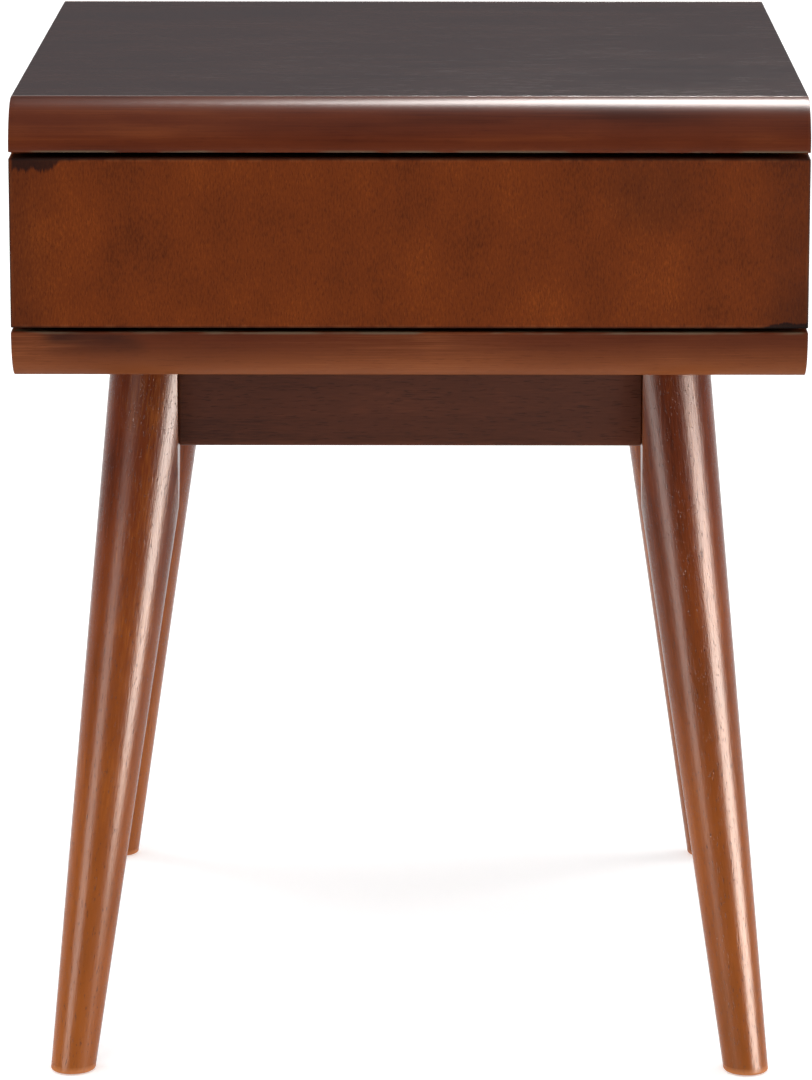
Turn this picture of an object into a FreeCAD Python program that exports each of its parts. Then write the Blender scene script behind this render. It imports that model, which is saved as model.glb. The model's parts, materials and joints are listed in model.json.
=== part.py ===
"""Side table with one full-width drawer: a rounded case on four splayed legs. Millimetres.

X is the table's width, Y its depth with the drawer opening towards -Y, Z is up.
The origin is on the floor, under the middle of the case.
"""
import FreeCAD, Part
import math
import os
import re
import Sketcher

SIZES = {
    # case
    "table_height": 610,
    "case_width": 480,
    "case_depth": 540,
    "case_height": 170,
    "top_radius": 30,
    "bottom_radius": 31,
    "panel_thickness": 18,
    "side_thickness": 18,
    "rear_thickness": 18,
    "spline_thickness": 6,
    "spline_reach": 8,
    "spline_inset": 15,
    "dowel_radius": 4,
    "dowel_deep": 18,
    "dowel_shallow": 12,
    "dowel_inset": 80,
    "rear_dowel_spread": 28,
    # drawer
    "front_thickness": 20,
    "front_ease": 1,
    "top_gap": 3.5,
    "bottom_gap": 2.5,
    "push_clearance": 3,
    "box_board": 12,
    "box_rise": 2.5,
    "box_drop": 4.5,
    "latch_room": 52,
    "ply_thickness": 5,
    "ply_rise": 8,
    "groove_depth": 5,
    "drawer_dowel_radius": 3,
    "drawer_dowel_reach": 16,
    "drawer_dowel_cover": 4,
    "drawer_dowel_spread": 24,
    "front_screw_spread": 120,
    "front_screw_height": 25,
    # drawer slides
    "slide_thickness": 12.7,
    "slide_height": 45,
    "slide_setback": 2,
    "slide_rear_room": 47,
    "slide_sheet": 1.2,
    "slide_lip": 1.5,
    "slide_play": 0.3,
    "slide_screw_inset": 35,
    "ball_radius": 1.5,
    "ball_clearance": 0.05,
    "ball_pitch": 20,
    "cage_length": 150,
    "cage_sheet": 0.8,
    # touch latch
    "latch_length": 45,
    "latch_width": 24,
    "latch_wall": 4,
    "latch_lip": 3,
    "latch_ear": 15,
    "latch_gap": 0.2,
    "plunger_radius": 4,
    "plunger_clearance": 0.1,
    "plunger_collar": 1,
    "magnet_radius": 3,
    "magnet_length": 3,
    "spring_length": 16,
    "spring_wire_radius": 0.4,
    "strike_thickness": 1.5,
    "strike_width": 44,
    "strike_height": 16,
    "strike_screw_spread": 15,
    # base
    "foot_radius": 13.8,
    "foot_ease": 1.5,
    "foot_inset_x": 30,
    "foot_inset_y": 20,
    "leg_top_radius": 28,
    "leg_inset_x": 82,
    "leg_inset_y": 115,
    "leg_flat_x": 13.7,
    "leg_flat_y": 5,
    "leg_spare": 30,
    "apron_height": 59,
    "apron_thickness": 18,
    "apron_lip_x": 7.7,
    "apron_lip_y": 2,
    "apron_dowel_reach": 15,
    "block_size": 68,
    "block_height": 28,
    "block_clip": 6,
    "block_screw_inset": 22,
    "block_screw_cover": 13,
    "base_screw_inset": 24,
    "glide_radius": 9,
    "glide_thickness": 3,
    "glide_proud": 1,
    "glide_nail_radius": 1,
    "glide_nail_length": 15,
    # wood screws
    "screw_radius": 2,
    "screw_head": 2,
    "screw_tip": 3,
    "screw_cover": 6,
}

# Levels and faces that several pieces share, worked out from the sizes.
LEVELS = {
    "half_width": "case_width / 2",
    "half_depth": "case_depth / 2",
    "case_bottom": "table_height - case_height",
    "top_under": "table_height - panel_thickness",
    "bottom_over": "case_bottom + panel_thickness",
    "opening_top": "table_height - top_radius",
    "opening_bottom": "case_bottom + bottom_radius",
    "top_joint": "half_depth - top_radius",
    "bottom_joint": "half_depth - bottom_radius",
    "inner_half": "half_width - side_thickness",
    "front_back": "half_depth - front_thickness",
    "side_front": "front_back - push_clearance",
    "side_rear": "half_depth - rear_thickness",
    "front_low": "opening_bottom + bottom_gap",
    "front_high": "opening_top - top_gap",
    "box_half": "inner_half - slide_thickness",
    "box_inner": "box_half - box_board",
    "box_low": "front_low + box_rise",
    "box_high": "front_high - box_drop",
    "box_back": "side_rear - latch_room",
    "mid_level": "(front_low + front_high) / 2",
    "slide_front": "slide_setback - side_front",
    "slide_rear": "side_rear - slide_rear_room",
    "ball_room": "2 * (ball_radius + ball_clearance)",
    "outer_race": "slide_height / 2 - slide_sheet",
    "middle_half": "outer_race - ball_room",
    "middle_race": "middle_half - slide_sheet",
    "drawer_half": "middle_race - ball_room",
    "outer_cage_web": "slide_sheet + slide_play",
    "middle_web": "outer_cage_web + cage_sheet + slide_play",
    "outer_ball": "middle_web + slide_play + ball_radius",
    "outer_mouth": "outer_ball + ball_radius + slide_play + slide_sheet",
    "inner_cage_web": "middle_web + slide_sheet + slide_play",
    "drawer_mouth": "inner_cage_web + cage_sheet + slide_play",
    "inner_ball": "drawer_mouth + ball_radius",
    "middle_mouth": "inner_ball + ball_radius + slide_play + slide_sheet",
    "strike_face": "box_back + strike_thickness",
    "latch_front": "side_rear - latch_length",
    "bore_end": "side_rear - latch_wall",
    "plunger_rear": "bore_end - spring_length",
    "collar_radius": "plunger_radius + plunger_collar",
    "foot_x": "half_width - foot_inset_x",
    "foot_y": "half_depth - foot_inset_y",
    "leg_x": "half_width - leg_inset_x",
    "leg_y": "half_depth - leg_inset_y",
    "flat_x": "leg_x - leg_flat_x",
    "flat_y": "leg_y - leg_flat_y",
    "apron_low": "case_bottom - apron_height",
    "apron_x": "flat_x + apron_lip_x",
    "apron_y": "flat_y + apron_lip_y",
}

SIDES = {"left": -1, "right": 1}
ENDS = {"front": -1, "rear": 1}
TURNS = {
    "+x": "rotation(vector(0; 1; 0); 90)",
    "-x": "rotation(vector(0; 1; 0); -90)",
    "+y": "rotation(vector(1; 0; 0); -90)",
    "-y": "rotation(vector(1; 0; 0); 90)",
    "+z": "rotation(vector(0; 0; 1); 0)",
}
SPRING_TURNS = 7
RUNS_PER_TURN = 10
BALLS_IN_A_ROW = 7

doc = FreeCAD.newDocument("SideTable")
sheet = doc.addObject("Spreadsheet::Sheet", "Sizes")
for row, (alias, amount) in enumerate(SIZES.items(), start=1):
    sheet.set(f"A{row}", str(amount))
    sheet.setAlias(f"A{row}", alias)
doc.recompute()
pieces = {}


# ---- expressions -------------------------------------------------------------------

def spelled(text):
    """Write a formula of named sizes and levels out in terms of the sheet's cells."""
    def spell(match):
        word = match.group()
        if word in LEVELS:
            return f"({spelled(LEVELS[word])})"
        return f"Sizes.{word}" if word in SIZES else word
    return re.sub(r"[a-z]\w*", spell, str(text))


def number(text):
    """The present value of a formula."""
    return float(sheet.evalExpression(spelled(text)))


def bind(thing, **formulas):
    for quantity, text in formulas.items():
        thing.setExpression(quantity, spelled(text))


def place(thing, at, turn=TURNS["+z"]):
    x, y, z = (spelled(part) for part in at)
    thing.setExpression("Placement", f"placement(vector({x}; {y}; {z}); {spelled(turn)})")


def moved(at, axis, distance):
    """The point that lies the distance from `at` along an axis such as "-y"."""
    point = list(at)
    which = "xyz".index(axis[1])
    point[which] = f"{point[which]} {axis[0]} ({distance})"
    return point


def across(sign, near, far):
    """Low and high formulas of a span whose distances from the middle are near and far."""
    return (near, far) if sign > 0 else (f"-({far})", f"-({near})")


# ---- general solids ----------------------------------------------------------------

def board(name, x, y, z):
    """A plain board, from its low to its high face along each axis."""
    box = doc.addObject("Part::Box", name)
    bind(box, Length=f"{x[1]} - ({x[0]})", Width=f"{y[1]} - ({y[0]})", Height=f"{z[1]} - ({z[0]})")
    place(box, (x[0], y[0], z[0]))
    return box


def rod(name, at, axis, radius, length):
    cylinder = doc.addObject("Part::Cylinder", name)
    bind(cylinder, Radius=radius, Height=length)
    place(cylinder, at, TURNS[axis])
    return cylinder


def taper(name, at, axis, start_radius, end_radius, length):
    cone = doc.addObject("Part::Cone", name)
    bind(cone, Radius1=start_radius, Radius2=end_radius, Height=length)
    place(cone, at, TURNS[axis])
    return cone


def fused(name, parts):
    fuse = doc.addObject("Part::MultiFuse", name)
    fuse.Shapes = parts
    return fuse


def grouped(name, parts):
    group = doc.addObject("Part::Compound", name)
    group.Links = parts
    return group


def fitted(name, base, *others):
    """Cut from a piece the room that other pieces take in it."""
    for index, other in enumerate(others, start=1):
        last = index == len(others)
        cut = doc.addObject("Part::Cut", name if last else f"{name}_stage{index}")
        cut.Base = base
        cut.Tool = other
        base = cut
    return base


def wood_screw(name, at, axis, length):
    """A countersunk screw whose flat head lies in the plane through `at`."""
    shank_length = f"{length} - screw_tip"
    head = taper(f"{name}_head", at, axis, "screw_radius + screw_head", "screw_radius", "screw_head")
    shank = rod(f"{name}_shank", at, axis, "screw_radius", shank_length)
    tip = taper(f"{name}_tip", moved(at, axis, shank_length), axis,
                "screw_radius", "screw_radius / 4", "screw_tip")
    return fused(name, [head, shank, tip])


def keep(node, thing):
    """Record a finished piece under its node name."""
    thing.Label = node
    pieces[node] = thing
    return thing


# ---- sketched solids ---------------------------------------------------------------

def sketch_on(body, role, offset):
    """A sketch on one of the body's own planes, the offset away along its normal."""
    sketch = body.newObject("Sketcher::SketchObject", f"{body.Name}_sketch")
    plane = next(feature for feature in body.Origin.OriginFeatures if feature.Role == role)
    sketch.AttachmentSupport = [(plane, "")]
    sketch.MapMode = "FlatFace"
    sketch.setExpression("AttachmentOffset",
                         f"placement(vector(0; 0; {spelled(offset)}); {TURNS['+z']})")
    return sketch


def pin_vertex(sketch, edge, end, point):
    """Hold the end of an edge at a point given by two formulas."""
    for kind, text in zip(("DistanceX", "DistanceY"), point):
        rule = sketch.addConstraint(Sketcher.Constraint(kind, -1, 1, edge, end, number(text)))
        sketch.setExpression(f"Constraints[{rule}]", spelled(text))


def draw_outline(sketch, points):
    """A closed outline of straight edges through points given by formulas."""
    corners = [FreeCAD.Vector(number(u), number(v), 0) for u, v in points]
    count = len(corners)
    for index in range(count):
        sketch.addGeometry(Part.LineSegment(corners[index], corners[(index + 1) % count]))
    for index in range(count):
        sketch.addConstraint(Sketcher.Constraint("Coincident", index, 2, (index + 1) % count, 1))
    for index, point in enumerate(points):
        pin_vertex(sketch, index, 1, point)


def extruded(name, role, offset, points, length):
    """A straight-edged outline on a plane, padded along the plane's normal."""
    body = doc.addObject("PartDesign::Body", name)
    sketch = sketch_on(body, role, offset)
    draw_outline(sketch, points)
    pad = body.newObject("PartDesign::Pad", f"{name}_pad")
    pad.Profile = sketch
    bind(pad, Length=length)
    return body


def quarter_round(name, radius, joint, flat, end, level):
    """A quarter-round moulding along X, with its square corner at (joint, flat)."""
    body = doc.addObject("PartDesign::Body", name)
    sketch = sketch_on(body, "YZ_Plane", "-half_width")
    y, z = f"{end} * ({joint})", flat
    outer = (f"{y} + {end} * {radius}", z)
    upper = (y, f"{z} + {level} * {radius}")
    centre, start, stop = (FreeCAD.Vector(number(u), number(v), 0) for u, v in ((y, z), outer, upper))
    middle = centre + ((start - centre) + (stop - centre)).normalize() * number(radius)
    sketch.addGeometry(Part.LineSegment(centre, start))
    sketch.addGeometry(Part.LineSegment(stop, centre))
    sketch.addGeometry(Part.Arc(start, middle, stop))
    first_end, last_end = (1, 2) if end * level > 0 else (2, 1)
    sketch.addConstraint(Sketcher.Constraint("Coincident", 1, 2, 0, 1))
    sketch.addConstraint(Sketcher.Constraint("Coincident", 0, 2, 2, first_end))
    sketch.addConstraint(Sketcher.Constraint("Coincident", 1, 1, 2, last_end))
    sketch.addConstraint(Sketcher.Constraint("Coincident", 2, 3, 0, 1))
    sketch.addConstraint(Sketcher.Constraint("Horizontal", 0))
    sketch.addConstraint(Sketcher.Constraint("Vertical", 1))
    pin_vertex(sketch, 0, 1, (y, z))
    rule = sketch.addConstraint(Sketcher.Constraint("Radius", 2, number(radius)))
    sketch.setExpression(f"Constraints[{rule}]", spelled(radius))
    pad = body.newObject("PartDesign::Pad", f"{name}_pad")
    pad.Profile = sketch
    bind(pad, Length="case_width")
    return body


# ---- case --------------------------------------------------------------------------

def make_splines(node, joint, level):
    """Two loose tongues, one in each joint between a panel and its mouldings."""
    tongues = []
    for end, sign in ENDS.items():
        tongues.append(board(f"{node}_{end}",
                             ("spline_inset - half_width", "half_width - spline_inset"),
                             across(sign, f"{joint} - spline_reach", f"{joint} + spline_reach"),
                             (f"{level} - spline_thickness / 2", f"{level} + spline_thickness / 2")))
    return keep(node, grouped(node, tongues))


def make_case_dowels():
    """Dowels from the side panels up, down and back into their neighbours."""
    length = "dowel_deep + dowel_shallow"
    pegs = []
    for side, sign in SIDES.items():
        x = f"{sign} * (half_width - side_thickness / 2)"
        for index, step in enumerate((-1, 0, 1)):
            y = f"{step} * (front_back - dowel_inset)"
            pegs.append(rod(f"dowel_top_{side}_{index}", (x, y, "top_under - dowel_deep"),
                            "+z", "dowel_radius", length))
            pegs.append(rod(f"dowel_bottom_{side}_{index}", (x, y, "bottom_over - dowel_shallow"),
                            "+z", "dowel_radius", length))
        for index, step in enumerate((-1, 1)):
            z = f"mid_level + {step} * rear_dowel_spread"
            pegs.append(rod(f"dowel_rear_{side}_{index}", (x, "side_rear - dowel_deep", z),
                            "+y", "dowel_radius", length))
    return keep("case_dowels", grouped("case_dowels", pegs))


def make_panels(splines, dowels, base_screws):
    width = ("-half_width", "half_width")
    top = board("top_blank", width, ("-top_joint", "top_joint"), ("top_under", "table_height"))
    keep("top_panel", fitted("top_panel", top, splines["top"], dowels))
    bottom = board("bottom_blank", width, ("-bottom_joint", "bottom_joint"),
                   ("case_bottom", "bottom_over"))
    keep("bottom_panel", fitted("bottom_panel", bottom, splines["bottom"], dowels, base_screws))


def make_mouldings(splines):
    for end, sign in ENDS.items():
        node = f"top_{end}_moulding"
        round_edge = quarter_round(f"{node}_run", "top_radius", "top_joint", "opening_top", sign, 1)
        keep(node, fitted(node, round_edge, splines["top"]))
        node = f"bottom_{end}_moulding"
        round_edge = quarter_round(f"{node}_run", "bottom_radius", "bottom_joint",
                                   "opening_bottom", sign, -1)
        keep(node, fitted(node, round_edge, splines["bottom"]))


def make_side_panels(dowels, case_screws):
    """Upright panels between top and bottom, notched at their corners for the mouldings."""
    outline = [
        ("-side_front", "opening_bottom"), ("-bottom_joint", "opening_bottom"),
        ("-bottom_joint", "bottom_over"), ("bottom_joint", "bottom_over"),
        ("bottom_joint", "opening_bottom"), ("side_rear", "opening_bottom"),
        ("side_rear", "opening_top"), ("top_joint", "opening_top"),
        ("top_joint", "top_under"), ("-top_joint", "top_under"),
        ("-top_joint", "opening_top"), ("-side_front", "opening_top"),
    ]
    for side, sign in SIDES.items():
        node = f"side_panel_{side}"
        low = across(sign, "inner_half", "half_width")[0]
        panel = extruded(f"{node}_blank", "YZ_Plane", low, outline, "side_thickness")
        keep(node, fitted(node, panel, dowels, case_screws))


def make_rear_panel(dowels, latch_screws):
    panel = board("rear_blank", ("-half_width", "half_width"), ("side_rear", "half_depth"),
                  ("opening_bottom", "opening_top"))
    keep("rear_panel", fitted("rear_panel", panel, dowels, latch_screws))


# ---- drawer ------------------------------------------------------------------------

def make_drawer_dowels():
    """Two dowels at each corner of the drawer box, stopped short of the outside."""
    pegs = []
    length = "box_board - drawer_dowel_cover + drawer_dowel_reach"
    for side, sign in SIDES.items():
        axis = "+x" if sign > 0 else "-x"
        x = f"{sign} * (box_inner - drawer_dowel_reach)"
        for end, y in (("front", "box_board / 2 - front_back"), ("rear", "box_back - box_board / 2")):
            for index, step in enumerate((-1, 1)):
                z = f"mid_level + {step} * drawer_dowel_spread"
                pegs.append(rod(f"drawer_dowel_{side}_{end}_{index}", (x, y, z), axis,
                                "drawer_dowel_radius", length))
    return keep("drawer_dowels", grouped("drawer_dowels", pegs))


def make_front_screws():
    """Screws from inside the box that hold the drawer's applied front."""
    screws = []
    for column, x_step in enumerate((-1, 1)):
        for row_index, z_step in enumerate((-1, 1)):
            at = (f"{x_step} * front_screw_spread", "box_board - front_back",
                  f"mid_level + {z_step} * front_screw_height")
            screws.append(wood_screw(f"front_screw_{column}{row_index}", at, "-y",
                                     "box_board + front_thickness - screw_cover"))
    return keep("drawer_front_screws", grouped("drawer_front_screws", screws))


def make_drawer(dowels, front_screws, slide_screws, strike_screws):
    inner = ("-box_inner", "box_inner")
    height = ("box_low", "box_high")
    ply = board("drawer_bottom", ("-box_inner - groove_depth", "box_inner + groove_depth"),
                ("box_board - groove_depth - front_back", "box_back - box_board + groove_depth"),
                ("box_low + ply_rise", "box_low + ply_rise + ply_thickness"))
    keep("drawer_bottom", ply)

    slab = board("front_slab", ("-half_width", "half_width"), ("-half_depth", "-front_back"),
                 ("front_low", "front_high"))
    doc.recompute()
    eased = doc.addObject("Part::Fillet", "front_eased")
    eased.Base = slab
    ease = number("front_ease")
    eased.Edges = [(index, ease, ease) for index in range(1, len(slab.Shape.Edges) + 1)]
    keep("drawer_front", fitted("drawer_front", eased, front_screws))

    box_front = board("box_front_blank", inner, ("-front_back", "box_board - front_back"), height)
    keep("drawer_box_front", fitted("drawer_box_front", box_front, ply, dowels, front_screws))
    box_back = board("box_back_blank", inner, ("box_back - box_board", "box_back"), height)
    keep("drawer_back", fitted("drawer_back", box_back, ply, dowels, strike_screws))
    for side, sign in SIDES.items():
        node = f"drawer_side_{side}"
        blank = board(f"{node}_blank", across(sign, "box_inner", "box_half"),
                      ("-front_back", "box_back"), height)
        keep(node, fitted(node, blank, ply, dowels, slide_screws))


# ---- drawer slides -----------------------------------------------------------------

def slide_point(sign, depth, rise):
    """A point of a slide's section, as depth from the side panel and rise from its middle."""
    return (f"{sign} * (inner_half - ({depth}))", f"mid_level + ({rise})")


def channel(name, sign, web, mouth, half, sheet_size, lip, span):
    """A channel along Y: its web near one depth, its flanges reaching to the mouth."""
    inward = 1 if number(mouth) > number(web) else -1
    web_in = f"{web} + {inward} * {sheet_size}"
    lip_in = f"{mouth} - {inward} * {sheet_size}"
    upper = [(web, half), (mouth, half)]
    if number(lip) > 0:
        upper += [(mouth, f"{half} - {sheet_size} - {lip}"), (lip_in, f"{half} - {sheet_size} - {lip}"),
                  (lip_in, f"{half} - {sheet_size}")]
    else:
        upper += [(mouth, f"{half} - {sheet_size}")]
    upper += [(web_in, f"{half} - {sheet_size}")]
    lower = [(depth, f"-({rise})") for depth, rise in reversed(upper)]
    points = [slide_point(sign, depth, rise) for depth, rise in upper + lower]
    start, stop = span
    # the XZ plane's normal points to -Y, so the pad runs from the rear end forwards
    return extruded(name, "XZ_Plane", f"-({stop})", points, f"{stop} - ({start})")


def make_slide_screws():
    """Countersunk screws through the slides, into the side panels and the drawer sides."""
    case_screws, drawer_screws = [], []
    stations = ("slide_front + slide_screw_inset", "(slide_front + slide_rear) / 2",
                "slide_rear - slide_screw_inset")
    for side, sign in SIDES.items():
        outward, inward = ("+x", "-x") if sign > 0 else ("-x", "+x")
        for index, y in enumerate(stations):
            x = slide_point(sign, "slide_sheet", 0)[0]
            case_screws.append(wood_screw(f"case_screw_{side}_{index}", (x, y, "mid_level"), outward,
                                          "slide_sheet + side_thickness - screw_cover"))
            x = slide_point(sign, "slide_thickness - slide_sheet", 0)[0]
            drawer_screws.append(wood_screw(f"box_screw_{side}_{index}", (x, y, "mid_level"), inward,
                                            "slide_sheet + box_board - screw_cover / 2"))
    case_group = keep("slide_case_screws", grouped("slide_case_screws", case_screws))
    drawer_group = keep("slide_drawer_screws", grouped("slide_drawer_screws", drawer_screws))
    return case_group, drawer_group


def make_balls(node, sign, depth, rise):
    """Two rows of balls, above and below the middle of a slide."""
    balls = []
    for row_index, up in enumerate((-1, 1)):
        for index in range(BALLS_IN_A_ROW):
            ball = doc.addObject("Part::Sphere", f"{node}_{row_index}{index}")
            bind(ball, Radius="ball_radius")
            x, z = slide_point(sign, depth, f"{up} * ({rise})")
            step = index - (BALLS_IN_A_ROW - 1) / 2
            place(ball, (x, f"(slide_front + slide_rear) / 2 + {step} * ball_pitch", z))
            balls.append(ball)
    return keep(node, grouped(node, balls))


def make_slides(case_screws, drawer_screws):
    """Three nested channels on each side, with a caged row of balls in each race."""
    span = ("slide_front", "slide_rear")
    cage_span = ("(slide_front + slide_rear - cage_length) / 2",
                 "(slide_front + slide_rear + cage_length) / 2")
    outer_rise = "outer_race - ball_room / 2"
    inner_rise = "middle_race - ball_room / 2"
    for side, sign in SIDES.items():
        outer = channel(f"outer_channel_{side}", sign, "0", "outer_mouth", "slide_height / 2",
                        "slide_sheet", "slide_lip", span)
        node = f"slide_case_member_{side}"
        keep(node, fitted(node, outer, case_screws))

        node = f"slide_middle_member_{side}"
        keep(node, channel(node, sign, "middle_web", "middle_mouth", "middle_half", "slide_sheet",
                           "slide_lip", span))

        drawer = channel(f"drawer_channel_{side}", sign, "slide_thickness", "drawer_mouth",
                         "drawer_half", "slide_sheet", "0", span)
        node = f"slide_drawer_member_{side}"
        keep(node, fitted(node, drawer, drawer_screws))

        balls = make_balls(f"outer_balls_{side}", sign, "outer_ball", outer_rise)
        strip = channel(f"outer_strip_{side}", sign, "outer_cage_web", "outer_ball + ball_radius",
                        f"{outer_rise} + cage_sheet / 2", "cage_sheet", "0", cage_span)
        node = f"outer_ball_cage_{side}"
        keep(node, fitted(node, strip, balls))

        balls = make_balls(f"inner_balls_{side}", sign, "inner_ball", inner_rise)
        strip = channel(f"inner_strip_{side}", sign, "inner_cage_web", "inner_ball + ball_radius",
                        f"{inner_rise} + cage_sheet / 2", "cage_sheet", "0", cage_span)
        node = f"inner_ball_cage_{side}"
        keep(node, fitted(node, strip, balls))


# ---- touch latch -------------------------------------------------------------------

def make_latch_screws():
    screws = []
    for index, sign in enumerate((-1, 1)):
        x = f"{sign} * (latch_width / 2 + latch_ear / 2)"
        screws.append(wood_screw(f"latch_screw_{index}", (x, "bore_end", "mid_level"), "+y",
                                 "latch_wall + rear_thickness - screw_cover"))
    return keep("latch_screws", grouped("latch_screws", screws))


def make_strike_screws():
    screws = []
    for index, sign in enumerate((-1, 1)):
        at = (f"{sign} * strike_screw_spread", "strike_face", "mid_level")
        screws.append(wood_screw(f"strike_screw_{index}", at, "-y",
                                 "strike_thickness + box_board - screw_cover / 2"))
    return keep("strike_screws", grouped("strike_screws", screws))


def coiled_wire(name, at, axis):
    """A coil of round wire in short straight runs, mitred where they meet."""
    radius = number("plunger_radius")
    runs = SPRING_TURNS * RUNS_PER_TURN
    rise = number("spring_length - 2 * spring_wire_radius") / runs
    corners = []
    for index in range(runs + 1):
        angle = 2 * math.pi * index / RUNS_PER_TURN
        corners.append(FreeCAD.Vector(radius * math.cos(angle), radius * math.sin(angle), rise * index))
    line = doc.addObject("Part::Polygon", f"{name}_line")
    line.Nodes = corners
    wire = doc.addObject("Part::Circle", f"{name}_wire")
    bind(wire, Radius="spring_wire_radius")
    along_first_run = FreeCAD.Rotation(FreeCAD.Vector(0, 0, 1), corners[1] - corners[0])
    wire.Placement = FreeCAD.Placement(corners[0], along_first_run)
    coil = doc.addObject("Part::Sweep", name)
    coil.Sections = [wire]
    coil.Spine = (line, [f"Edge{index}" for index in range(1, runs + 1)])
    coil.Solid = True
    coil.Transition = "Right corner"
    place(coil, at, TURNS[axis])
    return coil


def make_latch(latch_screws, strike_screws):
    """A sprung plunger with a magnet tip, in a housing on the rear panel."""
    half = "latch_width / 2"
    rise = (f"mid_level - {half}", f"mid_level + {half}")
    barrel = board("latch_barrel", (f"-{half}", half), ("latch_front", "side_rear"), rise)
    ears = board("latch_ears", (f"-{half} - latch_ear", f"{half} + latch_ear"),
                 ("bore_end", "side_rear"), rise)
    bore_from = "latch_front + latch_lip"
    bore = rod("latch_bore", ("0", bore_from, "mid_level"), "+y",
               "collar_radius + plunger_clearance", f"bore_end - ({bore_from})")
    mouth = rod("latch_mouth", ("0", "latch_front", "mid_level"), "+y",
                "plunger_radius + plunger_clearance", "latch_lip")
    keep("latch_housing", fitted("latch_housing", fused("latch_block", [barrel, ears]),
                                 fused("latch_hollow", [bore, mouth]), latch_screws))

    magnet_face = "strike_face + latch_gap"
    magnet = keep("latch_magnet", rod("latch_magnet", ("0", magnet_face, "mid_level"), "+y",
                                      "magnet_radius", "magnet_length"))
    plunger_face = f"{magnet_face} + latch_gap"
    stem = rod("plunger_stem", ("0", plunger_face, "mid_level"), "+y", "plunger_radius",
               f"plunger_rear - ({plunger_face})")
    collar = rod("plunger_collar_ring", ("0", "plunger_rear - latch_lip", "mid_level"), "+y",
                 "collar_radius", "latch_lip")
    keep("latch_plunger", fitted("latch_plunger", fused("plunger_blank", [stem, collar]), magnet))

    keep("latch_spring", coiled_wire("latch_spring", ("0", "plunger_rear + spring_wire_radius",
                                                     "mid_level"), "+y"))

    plate = board("strike_blank", ("-strike_width / 2", "strike_width / 2"),
                  ("box_back", "strike_face"),
                  ("mid_level - strike_height / 2", "mid_level + strike_height / 2"))
    keep("strike_plate", fitted("strike_plate", plate, strike_screws))


# ---- base --------------------------------------------------------------------------

def make_apron_dowels():
    """Two dowels in each end of every apron, at staggered heights so they miss in the leg."""
    pegs = []
    length = "2 * apron_dowel_reach"
    for side, x_sign in SIDES.items():
        for end, y_sign in ENDS.items():
            for step in (1, 3):
                at = (f"{x_sign} * (flat_x - apron_dowel_reach)",
                      f"{y_sign} * (apron_y + apron_thickness / 2)",
                      f"apron_low + apron_height * {step} / 5")
                pegs.append(rod(f"apron_dowel_{end}_{side}_{step}", at, "+x" if x_sign > 0 else "-x",
                                "dowel_radius", length))
            for step in (2, 4):
                at = (f"{x_sign} * (apron_x + apron_thickness / 2)",
                      f"{y_sign} * (flat_y - apron_dowel_reach)",
                      f"apron_low + apron_height * {step} / 5")
                pegs.append(rod(f"apron_dowel_{side}_{end}_{step}", at, "+y" if y_sign > 0 else "-y",
                                "dowel_radius", length))
    return keep("apron_dowels", grouped("apron_dowels", pegs))


def make_aprons(dowels, block_screws):
    height = ("apron_low", "case_bottom")
    for end, sign in ENDS.items():
        node = f"apron_{end}"
        rail = board(f"{node}_blank", ("-flat_x", "flat_x"),
                     across(sign, "apron_y", "apron_y + apron_thickness"), height)
        keep(node, fitted(node, rail, dowels, block_screws))
    for side, sign in SIDES.items():
        node = f"apron_{side}"
        rail = board(f"{node}_blank", across(sign, "apron_x", "apron_x + apron_thickness"),
                     ("-flat_y", "flat_y"), height)
        keep(node, fitted(node, rail, dowels, block_screws))


def make_glides():
    """A nailed disc under each foot, sunk into the leg but for its last part."""
    glides = []
    for side, x_sign in SIDES.items():
        for end, y_sign in ENDS.items():
            name = f"glide_{end}_{side}"
            at = (f"{x_sign} * foot_x", f"{y_sign} * foot_y", "0")
            disc = rod(f"{name}_disc", at, "+z", "glide_radius", "glide_thickness")
            nail = rod(f"{name}_nail", at, "+z", "glide_nail_radius", "glide_nail_length")
            glides.append(fused(name, [disc, nail]))
    return keep("foot_glides", grouped("foot_glides", glides))


def make_legs(dowels, glides):
    """Tapered round legs that lean inwards as they rise, flattened where the aprons meet them."""
    run_x, run_y = "(foot_x - leg_x)", "(foot_y - leg_y)"
    slant = f"sqrt({run_x} ^ 2 + {run_y} ^ 2 + case_bottom ^ 2)"
    gain = f"(leg_top_radius - foot_radius) * leg_spare / {slant}"
    over = f"leg_spare / {slant}"
    for side, x_sign in SIDES.items():
        for end, y_sign in ENDS.items():
            node = f"leg_{end}_{side}"
            cone = doc.addObject("Part::Cone", f"{node}_turning")
            bind(cone, Radius1=f"foot_radius - {gain}", Radius2=f"leg_top_radius + {gain}",
                 Height=f"{slant} + 2 * leg_spare")
            lean = (f"rotation(vector({y_sign} * {run_y}; {-x_sign} * {run_x}; 0); "
                    f"atan2(sqrt({run_x} ^ 2 + {run_y} ^ 2); case_bottom))")
            place(cone, (f"{x_sign} * (foot_x + {run_x} * {over})",
                         f"{y_sign} * (foot_y + {run_y} * {over})", f"-case_bottom * {over}"), lean)
            trim = board(f"{node}_trim", across(x_sign, "flat_x", "half_width"),
                         across(y_sign, "flat_y", "half_depth"), ("glide_proud", "case_bottom"))
            shaft = doc.addObject("Part::Common", f"{node}_shaft")
            shaft.Base = cone
            shaft.Tool = trim
            doc.recompute()
            foot = number("glide_proud") + 0.001
            rim = [index for index, edge in enumerate(shaft.Shape.Edges, start=1)
                   if edge.BoundBox.ZMax < foot]
            eased = doc.addObject("Part::Fillet", f"{node}_eased")
            eased.Base = shaft
            eased.Edges = [(index, number("foot_ease"), number("foot_ease")) for index in rim]
            keep(node, fitted(node, eased, dowels, glides))


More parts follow.
